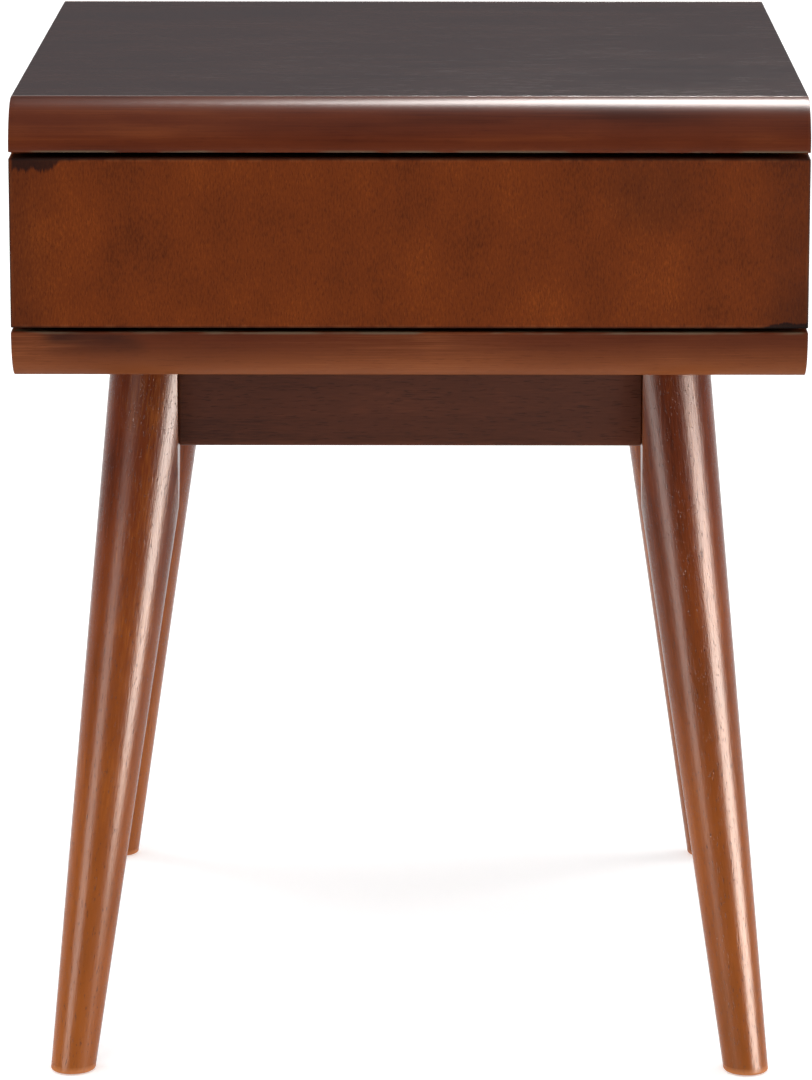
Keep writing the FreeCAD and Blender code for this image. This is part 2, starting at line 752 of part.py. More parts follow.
def make_block_screws():
    """Two screws from each corner block into its aprons, with a pocket before each head."""
    screws, pockets, base_screws = [], [], []
    mid_block = "case_bottom - block_height / 2"
    from_corner = "(block_size - block_screw_inset)"
    for side, x_sign in SIDES.items():
        for end, y_sign in ENDS.items():
            name = f"block_screw_{end}_{side}"
            deep_x = f"{x_sign} * (apron_x - block_screw_cover)"
            deep_y = f"{y_sign} * (apron_y - block_screw_cover)"
            in_x = f"{x_sign} * (apron_x - {from_corner})"
            in_y = f"{y_sign} * (apron_y - {from_corner})"
            x_axis = "+x" if x_sign > 0 else "-x"
            y_axis = "+y" if y_sign > 0 else "-y"
            length = "block_screw_cover + apron_thickness - screw_cover"
            for letter, at, axis in (("y", (in_x, deep_y, mid_block), y_axis),
                                     ("x", (deep_x, in_y, mid_block), x_axis)):
                screws.append(wood_screw(f"{name}_{letter}", at, axis, length))
                start = moved(at, axis, "-block_screw_inset")
                pockets.append(rod(f"{name}_{letter}_pocket", start, axis,
                                   "screw_radius + screw_head", "block_screw_inset"))
            at = (f"{x_sign} * (apron_x - base_screw_inset)",
                  f"{y_sign} * (apron_y - base_screw_inset)", "case_bottom - block_height")
            base_screws.append(wood_screw(f"base_screw_{end}_{side}", at, "+z",
                                          "block_height + panel_thickness - screw_cover"))
    held = keep("corner_block_screws", grouped("corner_block_screws", screws))
    upright = keep("base_screws", grouped("base_screws", base_screws))
    return held, grouped("block_pockets", pockets), upright


def make_corner_blocks(screws, pockets, base_screws):
    """Triangular blocks inside the apron corners, clipped to clear the legs."""
    for side, x_sign in SIDES.items():
        for end, y_sign in ENDS.items():
            node = f"corner_block_{end}_{side}"
            outline = [("apron_x - block_size", "apron_y"), ("flat_x - block_clip", "apron_y"),
                       ("apron_x", "flat_y - block_clip"), ("apron_x", "apron_y - block_size")]
            points = [(f"{x_sign} * ({x})", f"{y_sign} * ({y})") for x, y in outline]
            block = extruded(f"{node}_blank", "XY_Plane", "case_bottom - block_height", points,
                             "block_height")
            keep(node, fitted(node, block, screws, pockets, base_screws))


# ---- assembly ----------------------------------------------------------------------

def build_table():
    splines = {
        "top": make_splines("top_splines", "top_joint", "table_height - panel_thickness / 2"),
        "bottom": make_splines("bottom_splines", "bottom_joint", "case_bottom + panel_thickness / 2"),
    }
    case_dowels = make_case_dowels()
    block_screws, pockets, base_screws = make_block_screws()
    latch_screws = make_latch_screws()
    strike_screws = make_strike_screws()
    case_screws, slide_screws = make_slide_screws()

    make_panels(splines, case_dowels, base_screws)
    make_mouldings(splines)
    make_side_panels(case_dowels, case_screws)
    make_rear_panel(case_dowels, latch_screws)

    make_drawer(make_drawer_dowels(), make_front_screws(), slide_screws, strike_screws)
    make_slides(case_screws, slide_screws)
    make_latch(latch_screws, strike_screws)

    apron_dowels = make_apron_dowels()
    make_aprons(apron_dowels, block_screws)
    make_legs(apron_dowels, make_glides())
    make_corner_blocks(block_screws, pockets, base_screws)


def check_pieces():
    """Stop if any object failed or any piece has no valid shape."""
    for thing in doc.Objects:
        if "Invalid" in thing.State or "Error" in thing.State:
            raise RuntimeError(f"{thing.Label} did not build: {thing.State}")
    for node, piece in pieces.items():
        if piece.Shape.isNull() or not piece.Shape.isValid() or not piece.Shape.Solids:
            raise RuntimeError(f"{node} has no valid solid")


def write_pieces():
    os.makedirs("parts", exist_ok=True)
    for node, piece in pieces.items():
        piece.Shape.exportStep(f"parts/{node}.step")


build_table()
doc.recompute()
check_pieces()
write_pieces()
print(len(pieces), "pieces written")
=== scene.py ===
import bmesh
import bpy
import json
import math
import random
from mathutils import Matrix, Vector

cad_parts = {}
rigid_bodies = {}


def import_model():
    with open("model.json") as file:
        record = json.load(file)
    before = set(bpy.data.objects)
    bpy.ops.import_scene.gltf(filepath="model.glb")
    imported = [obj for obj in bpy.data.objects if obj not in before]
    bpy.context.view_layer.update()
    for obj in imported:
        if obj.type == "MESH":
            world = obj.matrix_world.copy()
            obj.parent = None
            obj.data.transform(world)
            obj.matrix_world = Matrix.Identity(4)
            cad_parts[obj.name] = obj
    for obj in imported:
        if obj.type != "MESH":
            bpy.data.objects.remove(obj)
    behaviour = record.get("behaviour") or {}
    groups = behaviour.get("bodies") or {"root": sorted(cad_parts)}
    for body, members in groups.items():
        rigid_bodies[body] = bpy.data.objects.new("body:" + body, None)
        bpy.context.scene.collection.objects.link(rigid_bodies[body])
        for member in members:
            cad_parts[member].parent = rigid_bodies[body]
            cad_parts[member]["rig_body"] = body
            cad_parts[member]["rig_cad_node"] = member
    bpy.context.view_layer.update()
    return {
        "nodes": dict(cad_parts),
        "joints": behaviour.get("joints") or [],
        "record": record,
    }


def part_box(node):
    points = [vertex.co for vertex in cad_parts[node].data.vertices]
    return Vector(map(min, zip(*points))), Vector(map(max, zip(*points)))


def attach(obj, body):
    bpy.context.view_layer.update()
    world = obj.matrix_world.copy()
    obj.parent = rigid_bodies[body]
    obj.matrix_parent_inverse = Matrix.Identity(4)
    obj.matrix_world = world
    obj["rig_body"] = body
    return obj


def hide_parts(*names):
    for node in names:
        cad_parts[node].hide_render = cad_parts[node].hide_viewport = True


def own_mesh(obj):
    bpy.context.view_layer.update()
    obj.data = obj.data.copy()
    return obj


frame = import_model()
nodes = frame["nodes"]
bodyOf = {name: body for body, names in frame["record"]["behaviour"]["bodies"].items() for name in names}
feet = {mount["name"]: Vector(mount["pos_m"]) for mount in frame["record"]["mounts"]}
sides = {"left": -1, "right": 1}
ends = {"front": -1, "rear": 1}
chance = random.Random(7)  # one seed for every piece's place in the wood
print("frame loaded with", len(nodes), "nodes")


class Field:
    # one socket of a node tree, so that a sum on it reads as a sum
    def __init__(self, finish, socket):
        self.finish, self.socket = finish, socket

    def sum(self, operation, *parts):
        return self.finish.node("Math", {"operation": operation}, dict(enumerate(parts)))

    def __add__(self, other):
        return self.sum("ADD", self, other)

    def __radd__(self, other):
        return self.sum("ADD", other, self)

    def __sub__(self, other):
        return self.sum("SUBTRACT", self, other)

    def __rsub__(self, other):
        return self.sum("SUBTRACT", other, self)

    def __mul__(self, other):
        return self.sum("MULTIPLY", self, other)

    def __rmul__(self, other):
        return self.sum("MULTIPLY", other, self)

    def __truediv__(self, other):
        return self.sum("DIVIDE", self, other)

    def rises(self, low, high):  # 0 below low, 1 above high, smooth between
        return self.finish.node("MapRange", {"interpolation_type": "SMOOTHSTEP"},
                                {"Value": self, "From Min": low, "From Max": high})

    def falls(self, low, high):
        return 1 - self.rises(low, high)

    def centred(self):  # a pattern from 0 to 1 then runs from -0.5 to 0.5
        return self - 0.5


class Finish:
    # the nodes of a material, or of the studio's sky, made one at a time
    def __init__(self, name, kind="materials"):
        self.owner = getattr(bpy.data, kind).new(name)
        self.owner.use_nodes = True
        self.tree = self.owner.node_tree
        self.tree.nodes.clear()

    def node(self, kind, settings=None, sockets=None, output=0):
        made = self.tree.nodes.new("ShaderNode" + kind)
        for key, value in (settings or {}).items():
            setattr(made, key, value)
        for key, value in (sockets or {}).items():
            if isinstance(value, Field):
                self.tree.links.new(value.socket, made.inputs[key])
            elif made.inputs[key].type == "RGBA":
                made.inputs[key].default_value = (*value, 1)
            else:
                made.inputs[key].default_value = value
        return Field(self, made.outputs[output]) if made.outputs else None

    def place(self, along=None):  # the piece's own wood, or its object's place turned so that z is along
        if along is None:
            return self.node("Attribute", {"attribute_name": "grain"}, output="Vector")
        turns = {"x": (0, math.radians(-90), 0), "y": (math.radians(90), 0, 0), "z": (0, 0, 0)}
        spot = self.node("TexCoord", output="Object")
        return self.node("Mapping", sockets={"Vector": spot, "Rotation": turns[along]})

    def parts(self):  # x, y and z of the object's place
        spot = self.node("TexCoord", output="Object")
        split = self.node("SeparateXYZ", sockets={"Vector": spot}).socket.node
        return [Field(self, output) for output in split.outputs]

    def wear(self):  # 1 on eased edges, where wear and painted light go, 0 on flat faces
        return self.node("Attribute", {"attribute_name": "wear"}, output="Fac")

    def noise(self, place, across, along=None, shift=0.0, detail=3.0, roughness=0.5, bend=0.0):
        scale = (across, across, across if along is None else along)
        mapped = self.node("Mapping", sockets={"Vector": place, "Location": (shift,) * 3, "Scale": scale})
        return self.node("TexNoise", sockets={"Vector": mapped, "Scale": 1.0, "Detail": detail,
                                              "Roughness": roughness, "Distortion": bend})

    def blend(self, factor, first, second):  # 6, 7 and 2 are the node's sockets for colours
        return self.node("Mix", {"data_type": "RGBA"}, {0: factor, 6: first, 7: second}, output=2)

    def bump(self, height, distance, strength=1.0):
        return self.node("Bump", sockets={"Height": height, "Distance": distance, "Strength": strength})

    def done(self, sockets):
        shader = self.node("BsdfPrincipled", sockets=sockets)
        self.node("OutputMaterial", sockets={"Surface": shader})
        return self.owner


# where in the noise each pattern is taken, so that no two of them line up
shifts = {"bands": 1.7, "fibres": 4.1, "clouds": 8.3, "pores": 2.9, "worn": 5.5, "rolled": 1.3,
          "upperStain": 6.2, "cornerStain": 9.4, "deepStain": 7.7, "gapStain": 3.3}
# what every wood here shares: how the tone turns into colour, and how ragged the edges' wear and painted
# light are
woodMix = {"bandStretch": 16, "bandBend": 0.5, "middleTone": 0.5, "darkTo": (0.15, 0.55),
           "lightFrom": (0.50, 0.92), "lowLiftFloor": 0.4, "poreSoftness": 0.12, "cloudDull": 0.12,
           "wearAndPaintedLightAcross": 160, "wearAndPaintedLightAlong": 30, "wearAndPaintedLightSteps": (0.42, 0.62)}


# a stained or bare wood: broad bands and fine fibres along the grain, cloudy stain, short dark pores
def woodFinish(name, look, along=None, smears=()):
    finish = Finish(name)
    place = finish.place(along)
    bands = finish.noise(place, look["bands"], look["bands"] / woodMix["bandStretch"], shifts["bands"],
                         detail=2, bend=woodMix["bandBend"])
    fibres = finish.noise(place, look["fibres"], look["fibres"] / look["stretch"], shifts["fibres"],
                          detail=4, roughness=0.6)
    clouds = finish.noise(place, look["clouds"], look["clouds"] * look["cloudSquash"], shifts["clouds"],
                          detail=3, roughness=0.55)
    pores = finish.noise(place, look["pores"], look["pores"] / look["poreLength"], shifts["pores"],
                         detail=1)
    pores = pores.rises(look["poreFrom"], look["poreFrom"] + woodMix["poreSoftness"])
    tone = bands.centred() * look["bandShare"] + fibres.centred() * look["fibreShare"]
    tone = tone + clouds.centred() * look["cloudShare"] + woodMix["middleTone"]
    colour = finish.blend(tone.rises(*woodMix["darkTo"]), look["dark"], look["middle"])
    colour = finish.blend(tone.rises(*woodMix["lightFrom"]), colour, look["light"])
    if look["thin"]:  # lighter lower down, between these two heights; on the bottom moulding a painted reflection of the floor
        lift = finish.parts()[2].falls(*look["thin"]) * look["lowLiftShare"] * (clouds + woodMix["lowLiftFloor"])
        colour = finish.blend(lift, colour, look["light"])
    colour = finish.blend(pores * look["poreDepth"], colour, look["dark"])
    gloss = look["gloss"] + clouds.centred() * woodMix["cloudDull"] + pores * look["poreDull"]
    if along is None:  # new pieces know which edges carry wear and painted light
        worn = finish.wear()
        if look["wearAndPaintedLightPatchy"]:
            patches = finish.noise(place, woodMix["wearAndPaintedLightAcross"], woodMix["wearAndPaintedLightAlong"], shifts["worn"],
                                   detail=2)
            worn = worn * patches.rises(*woodMix["wearAndPaintedLightSteps"])
        # eased edges blend to this colour: wear, and on the top, the mouldings and the legs' flats painted
        # light
        colour = finish.blend(worn * look["wearAndPaintedLightShare"], colour, look["worn"])
        gloss = gloss + worn * look["wearAndPaintedLightDull"]
    for smear in smears:  # black stain that crept in from an edge
        colour = finish.blend(smear(finish, place), colour, look["smear"])
    height = fibres.centred() * look["fibreHeight"] - pores
    return finish.done({"Base Color": colour, "Roughness": gloss, "Normal": finish.bump(height, look["bump"]),
                        "Coat Weight": look["coat"], "Coat Roughness": look["coatGloss"],
                        "Specular IOR Level": look["shine"]})


# colours first, then how fine each pattern is (its scale in a metre) and its share, then gloss, and wear with
# painted light on eased edges;
# the lift is given by two heights above the floor, between which the colour turns lighter lower down
stainLook = {"dark": (0.050, 0.014, 0.007), "middle": (0.115, 0.029, 0.011), "light": (0.20, 0.050, 0.014),
             "worn": (0.30, 0.10, 0.035), "smear": (0.006, 0.005, 0.005),
             "bands": 60, "fibres": 900, "stretch": 14, "clouds": 17, "cloudSquash": 0.45,
             "pores": 1300, "poreLength": 10, "poreFrom": 0.60,
             "bandShare": 0.35, "fibreShare": 0.6, "cloudShare": 0.7, "poreDepth": 0.6,
             "fibreHeight": 0.5, "bump": 0.00012,
             "gloss": 0.34, "poreDull": 0.25, "coat": 0.35, "coatGloss": 0.12, "shine": 0.12,
             "thin": None, "lowLiftShare": 0.6, "wearAndPaintedLightShare": 0.25, "wearAndPaintedLightDull": 0.0, "wearAndPaintedLightPatchy": True}
# the top's edge colour, near white, is a painted highlight line along its joint edges
topLook = {**stainLook, "dark": (0.018, 0.007, 0.005), "middle": (0.036, 0.013, 0.008),
           "light": (0.066, 0.024, 0.013), "worn": (0.60, 0.52, 0.48),
           "fibres": 500, "stretch": 40, "poreLength": 30, "fibreShare": 0.9, "poreDepth": 0.3,
           "bump": 0.000003, "gloss": 0.18, "poreDull": 0.10, "coat": 0.20, "coatGloss": 0.07, "shine": 0.22,
           "wearAndPaintedLightShare": 0.5, "wearAndPaintedLightPatchy": False}
# the mouldings' edge colour is a painted glint line along their joint edges
mouldingLook = {**stainLook, "dark": (0.050, 0.009, 0.003), "middle": (0.095, 0.018, 0.005),
                "light": (0.155, 0.036, 0.009), "worn": (0.11, 0.075, 0.045),
                "stretch": 60, "bandShare": 0.9, "fibreShare": 0.5, "cloudShare": 1.0, "poreDepth": 0.25,
                "bump": 0.00001, "gloss": 0.30, "poreDull": 0.05, "coat": 0.20, "coatGloss": 0.29,
                "shine": 0.008, "wearAndPaintedLightShare": 0.9}
# the bottom moulding turns lighter toward its lower edge: a painted reflection of the pale floor
lowerLook = {**mouldingLook, "dark": (0.050, 0.010, 0.004), "middle": (0.094, 0.021, 0.007),
             "light": (0.28, 0.090, 0.030), "bandShare": 0.2, "cloudShare": 0.5, "coat": 0.10, "shine": 0.0,
             "thin": (0.440, 0.469), "lowLiftShare": 0.55}
frontLook = {**stainLook, "dark": (0.066, 0.015, 0.005), "middle": (0.132, 0.027, 0.006),
             "light": (0.22, 0.049, 0.008), "gloss": 0.45, "coat": 0.0, "shine": 0.02, "bump": 0.00003,
             "bands": 45, "fibres": 1000, "stretch": 3.5, "clouds": 22, "pores": 1600, "poreLength": 5,
             "poreDepth": 0.5, "cloudSquash": 0.8, "bandShare": 0.2, "fibreShare": 0.8, "cloudShare": 0.65}
caseLook = {**frontLook, "worn": (0.2, 0.05, 0.02), "stretch": 25, "clouds": 12, "cloudSquash": 0.4,
            "poreLength": 12, "bandShare": 0.35, "fibreShare": 0.35, "cloudShare": 0.4, "poreDepth": 0.2}
apronLook = {**stainLook, "dark": (0.036, 0.011, 0.006), "middle": (0.080, 0.022, 0.010),
             "light": (0.13, 0.036, 0.015), "gloss": 0.45, "coat": 0.0, "shine": 0.08, "wearAndPaintedLightShare": 0.05}
# the legs' edge colour is wear at the foot and a painted lit strip on the flats; they turn lighter lower down
legLook = {**stainLook, "dark": (0.052, 0.009, 0.003), "middle": (0.135, 0.024, 0.005),
           "light": (0.32, 0.088, 0.012), "worn": (0.46, 0.16, 0.045),
           "bands": 90, "pores": 1400, "poreLength": 5, "poreFrom": 0.64, "cloudShare": 1.0, "bump": 0.0004,
           "gloss": 0.23, "poreDull": 0.1, "coat": 0.12, "coatGloss": 0.24, "shine": 0.11,
           "thin": (0.02, 0.42), "lowLiftShare": 0.8, "wearAndPaintedLightShare": 0.8, "wearAndPaintedLightDull": 0.4, "wearAndPaintedLightPatchy": False}
boxLook = {**stainLook, "dark": (0.36, 0.22, 0.11), "middle": (0.50, 0.33, 0.18), "light": (0.62, 0.44, 0.27),
           "worn": (0.66, 0.50, 0.33), "poreDepth": 0.25, "gloss": 0.5, "coat": 0.05, "shine": 0.4,
           "bump": 0.00006}
plyLook = {**boxLook, "dark": (0.42, 0.29, 0.16), "middle": (0.56, 0.40, 0.24), "light": (0.66, 0.50, 0.33),
           "bands": 25, "gloss": 0.6}
dowelLook = {**boxLook, "dark": (0.40, 0.22, 0.12), "middle": (0.52, 0.32, 0.18), "light": (0.62, 0.42, 0.26),
             "gloss": 0.65, "coat": 0.0}


# the stains on the drawer front, in metres from its own edges, each with how strong it is
upperStain = {"creep": 0.0085, "length": 0.024, "shoulder": 0.0324, "tail": 0.062, "tailCreep": 0.2,
              "softness": 0.0015, "fromEnd": (0.001, 0.003), "ragged": (420, 30), "raggedGain": 1.5,
              "raggedBase": 0.1, "strength": 0.8}
cornerStain = {"creep": 0.0056, "reach": (0.0176, 0.0308), "softness": (-0.0006, 0.0009),
               "ragged": (300, 40), "strength": 0.85}
rimStain = {"rims": (0.0004, 0.0019), "ends": (0.0002, 0.0016), "depth": (0.001, 0.003), "strength": 0.6}
deepStain = {"ends": (0, 0.045), "endStrength": 0.22, "cornerAcross": (0.004, 0.034),
             "cornerUp": (0.006, 0.040), "cornerStrength": 0.30, "patchPlace": (0.095, 0.020),
             "patchSize": (0.034, 0.030), "patchSoftness": (0.1, 1.3), "patchStrength": 0.24, "ragged": 24,
             "raggedBase": 0.5}


def frontSmears():
    low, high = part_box("drawer_front")

    def upperLeft(finish, place):  # ragged, and drawn out along the upright fibres
        x, _, z = finish.parts()
        ragged = finish.noise(place, *upperStain["ragged"], shifts["upperStain"], detail=3, roughness=0.6)
        tailCreep = upperStain["tailCreep"]
        reach = (x - low.x).falls(upperStain["length"], upperStain["shoulder"]) * (1 - tailCreep) + tailCreep
        reach = reach * (x - low.x).falls(upperStain["length"], upperStain["tail"])
        ragged = ragged * upperStain["raggedGain"] + upperStain["raggedBase"]
        reach = reach * ragged * upperStain["creep"]
        stain = (high.z - z - reach).falls(-upperStain["softness"], upperStain["softness"])
        return stain * (x - low.x).rises(*upperStain["fromEnd"]) * upperStain["strength"]

    def lowerRight(finish, place):
        x, _, z = finish.parts()
        ragged = finish.noise(place, *cornerStain["ragged"], shifts["cornerStain"], detail=3, roughness=0.6)
        reach = (high.x - x).falls(*cornerStain["reach"]) * ragged * cornerStain["creep"]
        return (z - low.z - reach).falls(*cornerStain["softness"]) * cornerStain["strength"]

    def rim(finish, place):  # a dark line where the stain gathered on the edges
        x, y, z = finish.parts()
        fromEnds = x.sum("MINIMUM", x - low.x, high.x - x)
        fromRims = z.sum("MINIMUM", z - low.z, high.z - z)
        line = x.sum("MAXIMUM", fromRims.falls(*rimStain["rims"]), fromEnds.falls(*rimStain["ends"]))
        return line * (y - low.y).falls(*rimStain["depth"]) * rimStain["strength"]

    def deeper(finish, place):  # soft places where more stain was taken up: both ends, a corner, a patch
        x, _, z = finish.parts()
        ragged = finish.noise(place, deepStain["ragged"], shift=shifts["deepStain"], detail=3)
        ragged = ragged + deepStain["raggedBase"]
        ends = x.sum("MINIMUM", x - low.x, high.x - x).falls(*deepStain["ends"]) * deepStain["endStrength"]
        corner = (high.x - x).falls(*deepStain["cornerAcross"]) * (z - low.z).falls(*deepStain["cornerUp"])
        across = (x - (high.x - deepStain["patchPlace"][0])) / deepStain["patchSize"][0]
        up = (z - (high.z - deepStain["patchPlace"][1])) / deepStain["patchSize"][1]
        patch = (across * across + up * up).falls(*deepStain["patchSoftness"]) * deepStain["patchStrength"]
        return (ends + corner * deepStain["cornerStrength"] + patch) * ragged

    return deeper, upperLeft, lowerRight, rim


# the stain on the lower moulding, right under the gap
gapStain = {"start": (0.014, 0.028), "end": (0.072, 0.086), "drop": 0.018, "ragged": (120, 12),
            "raggedSteps": (0.3, 0.6), "strength": 0.7}


def lowerSmear():
    low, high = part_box("bottom_front_moulding")

    def underTheGap(finish, place):
        x, _, z = finish.parts()
        ragged = finish.noise(place, *gapStain["ragged"], shifts["gapStain"], detail=3)
        ragged = ragged.rises(*gapStain["raggedSteps"])
        along = (x - low.x).rises(*gapStain["start"]) * (x - low.x).falls(*gapStain["end"])
        return (high.z - z).falls(0, gapStain["drop"]) * along * ragged * gapStain["strength"]

    return (underTheGap,)


# what every metal here shares: fine rolled lines, and how much its spangle dulls and lifts
metalMix = {"rolledAcross": 2500, "rolledAlong": 12, "lightSteps": (0.3, 0.7), "spangleDull": 0.2,
            "spangleHeight": 0.4, "bump": 0.00004, "bumpStrength": 0.6}


# plated, rolled or polished metal
def metalFinish(name, look):
    finish = Finish(name)
    place = finish.place("z")
    spangle = finish.noise(place, look["spangle"], detail=2)
    rolled = finish.noise(finish.place("y"), metalMix["rolledAcross"], metalMix["rolledAlong"],
                          shifts["rolled"], detail=2)
    colour = finish.blend(spangle.rises(*metalMix["lightSteps"]), look["dark"], look["light"])
    gloss = look["gloss"] + spangle.centred() * metalMix["spangleDull"] + rolled.centred() * look["brush"]
    height = rolled * look["brush"] + spangle * metalMix["spangleHeight"]
    bumps = finish.bump(height, metalMix["bump"], metalMix["bumpStrength"])
    return finish.done({"Base Color": colour, "Metallic": 1.0, "Roughness": gloss, "Normal": bumps})


plasticMix = {"clouds": 60, "lightSteps": (0.35, 0.65), "skinDull": 0.15, "bump": 0.00005,
              "bumpStrength": 0.7}


# moulded plastic with a spark-eroded skin
def plasticFinish(name, look):
    finish = Finish(name)
    place = finish.place("z")
    skin = finish.noise(place, look["skin"], detail=3, roughness=0.6)
    clouds = finish.noise(place, plasticMix["clouds"], detail=2)
    colour = finish.blend(clouds.rises(*plasticMix["lightSteps"]), look["dark"], look["light"])
    gloss = look["gloss"] + skin.centred() * plasticMix["skinDull"]
    bumps = finish.bump(skin, plasticMix["bump"], plasticMix["bumpStrength"])
    return finish.done({"Base Color": colour, "Roughness": gloss, "Normal": bumps})


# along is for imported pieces: the way their grain runs
woods = {
    "topWood": {"look": topLook},
    "mouldingWood": {"look": mouldingLook},
    "lowerMouldingWood": {"look": lowerLook},
    "smearedMoulding": {"look": lowerLook, "smears": lowerSmear()},
    "frontWood": {"look": frontLook, "smears": frontSmears()},
    "caseWood": {"look": caseLook},
    "caseUnderside": {"look": apronLook, "along": "y"},
    "apronWood": {"look": apronLook},
    "legWood": {"look": legLook},
    "boxWood": {"look": boxLook},
    "plyWood": {"look": plyLook, "along": "x"},
    "beechDowel": {"look": dowelLook, "along": "x"},
    "blockWood": {"look": dowelLook, "along": "z"},
}
metals = {
    "zincPlate": {"dark": (0.36, 0.37, 0.38), "light": (0.50, 0.51, 0.52),
                  "gloss": 0.34, "spangle": 240, "brush": 0.25},
    "polishedBall": {"dark": (0.62, 0.62, 0.63), "light": (0.74, 0.74, 0.75),
                     "gloss": 0.12, "spangle": 900, "brush": 0.05},
    "passivatedScrew": {"dark": (0.50, 0.42, 0.24), "light": (0.66, 0.58, 0.38),
                        "gloss": 0.34, "spangle": 700, "brush": 0.1},
    "springWire": {"dark": (0.32, 0.32, 0.33), "light": (0.46, 0.46, 0.47),
                   "gloss": 0.28, "spangle": 800, "brush": 0.2},
    "strikePlate": {"dark": (0.54, 0.55, 0.56), "light": (0.68, 0.69, 0.70),
                    "gloss": 0.30, "spangle": 350, "brush": 0.4},
    "nickelMagnet": {"dark": (0.55, 0.53, 0.48), "light": (0.66, 0.64, 0.60),
                     "gloss": 0.2, "spangle": 500, "brush": 0.15},
}
plastics = {
    "cagePlastic": {"dark": (0.62, 0.61, 0.57), "light": (0.72, 0.71, 0.68), "gloss": 0.42, "skin": 1500},
    "latchPlastic": {"dark": (0.020, 0.020, 0.022), "light": (0.032, 0.032, 0.034),
                     "gloss": 0.48, "skin": 2200},
    "glidePlastic": {"dark": (0.05, 0.03, 0.02), "light": (0.09, 0.055, 0.035), "gloss": 0.5, "skin": 1200},
}
finishes = {name: woodFinish(name, **wood) for name, wood in woods.items()}
finishes.update({name: metalFinish(name, look) for name, look in metals.items()})
finishes.update({name: plasticFinish(name, look) for name, look in plastics.items()})
print("finishes made:", len(finishes))


def only(piece):  # the operators that follow act on this piece alone
    bpy.ops.object.select_all(action="DESELECT")
    bpy.context.view_layer.objects.active = piece
    piece.select_set(True)


def pick(piece, kind, wanted):  # in edit mode, selects the faces, edges or vertices that are wanted
    bpy.ops.mesh.select_mode(type=kind)
    bpy.ops.mesh.select_all(action="DESELECT")
    mesh = bmesh.from_edit_mesh(piece.data)
    mesh.normal_update()
    found = {"FACE": mesh.faces, "EDGE": mesh.edges, "VERT": mesh.verts}[kind]
    for item in found:
        if wanted(item):
            item.select_set(True)
    mesh.select_flush_mode()
    bmesh.update_edit_mesh(piece.data)


# from where a face is flat, an edge runs along an axis, two places are the same and an edge is sharp
tolerance = {"flat": 0.9999, "along": 0.999, "place": 0.00001, "angle": 35}


def flat(face):
    return max(abs(part) for part in face.normal) > tolerance["flat"]


def same(first, second):
    return abs(first - second) < tolerance["place"]


def middle(edge):
    return (edge.verts[0].co + edge.verts[1].co) / 2


def runsAlong(edge, axis):
    return abs((edge.verts[1].co - edge.verts[0].co).normalized()[axis]) > tolerance["along"]


def block(name, low, high):  # left in edit mode
    bpy.ops.object.select_all(action="DESELECT")
    bpy.ops.mesh.primitive_cube_add(size=1, location=(low + high) / 2, scale=high - low)
    piece = bpy.context.object
    piece.name = piece.data.name = name
    bpy.ops.object.transform_apply(location=True, rotation=False, scale=True)
    bpy.ops.object.mode_set(mode="EDIT")
    return piece


def ease(piece, wanted, width, steps=2):
    pick(piece, "EDGE", wanted)
    bpy.ops.mesh.bevel(offset=width, offset_type="OFFSET", segments=steps, profile=0.5, affect="EDGES",
                       clamp_overlap=True)


def sharp(edge):
    return len(edge.link_faces) == 2 and edge.calc_face_angle(0) > math.radians(tolerance["angle"])


def cut(spot, out, away=False):  # all through; away takes off what lies outwards and closes the cut
    bpy.ops.mesh.select_all(action="SELECT")
    bpy.ops.mesh.bisect(plane_co=spot, plane_no=out, use_fill=away, clear_outer=away)


# wear and painted light fade over this margin, on faces of at least so many squares of it
wearAndPaintedLightFade = {"margin": 0.0016, "squares": 30}


def frameFaces(piece):  # a loop inside each flat face, so that wear and painted light fade before its middle
    margin = wearAndPaintedLightFade["margin"]
    pick(piece, "FACE", lambda face: flat(face) and face.calc_area() > wearAndPaintedLightFade["squares"] * margin * margin)
    bpy.ops.mesh.inset(thickness=margin, use_individual=True, use_even_offset=True)


def mirrored(piece, name, x=1, y=1):  # a copy with its own mesh, on the other side
    copy = piece.copy()
    copy.data = piece.data.copy()
    copy.name = copy.data.name = name
    bpy.context.scene.collection.objects.link(copy)
    copy.data.transform(Matrix.Diagonal((x, y, 1, 1)))
    copy.data.flip_normals()
    return copy


# how far apart in the wood two pieces are cut, in metres, and up to what angle the shading is smooth
cutting = {"apart": 3, "smoothAngle": 40}


# writes the two layers that the wood finishes read, rounds the shading and hangs the piece on its body
def finishPiece(piece, node, finish, along, turn=None, worn=None):
    if piece.mode == "EDIT":
        bpy.ops.object.mode_set(mode="OBJECT")
    mesh = piece.data
    axes = {"x": Vector((1, 0, 0)), "y": Vector((0, 1, 0)), "z": Vector((0, 0, 1))}
    toGrain = axes[along] if turn is None else turn
    spin = toGrain.rotation_difference(axes["z"]).to_matrix()
    shift = Vector([chance.uniform(-cutting["apart"], cutting["apart"]) for _ in range(3)])
    mesh.attributes.new("grain", "FLOAT_VECTOR", "POINT")
    mesh.attributes.new("wear", "FLOAT", "POINT")
    grain, wear = mesh.attributes["grain"], mesh.attributes["wear"]  # looked up once both are there
    eased = {index for face in mesh.polygons if not flat(face) for index in face.vertices}
    for index, vertex in enumerate(mesh.vertices):
        grain.data[index].vector = spin @ vertex.co + shift
        wear.data[index].value = float(worn(vertex.co) if worn else index in eased)
    only(piece)
    bpy.ops.object.shade_smooth_by_angle(angle=math.radians(cutting["smoothAngle"]), keep_sharp_edges=False)
    weigh = piece.modifiers.new("evenShading", "WEIGHTED_NORMAL")
    weigh.keep_sharp = True
    bpy.ops.object.modifier_apply(modifier=weigh.name)
    mesh.materials.clear()
    mesh.materials.append(finishes[finish])
    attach(piece, bodyOf[node])
    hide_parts(node)


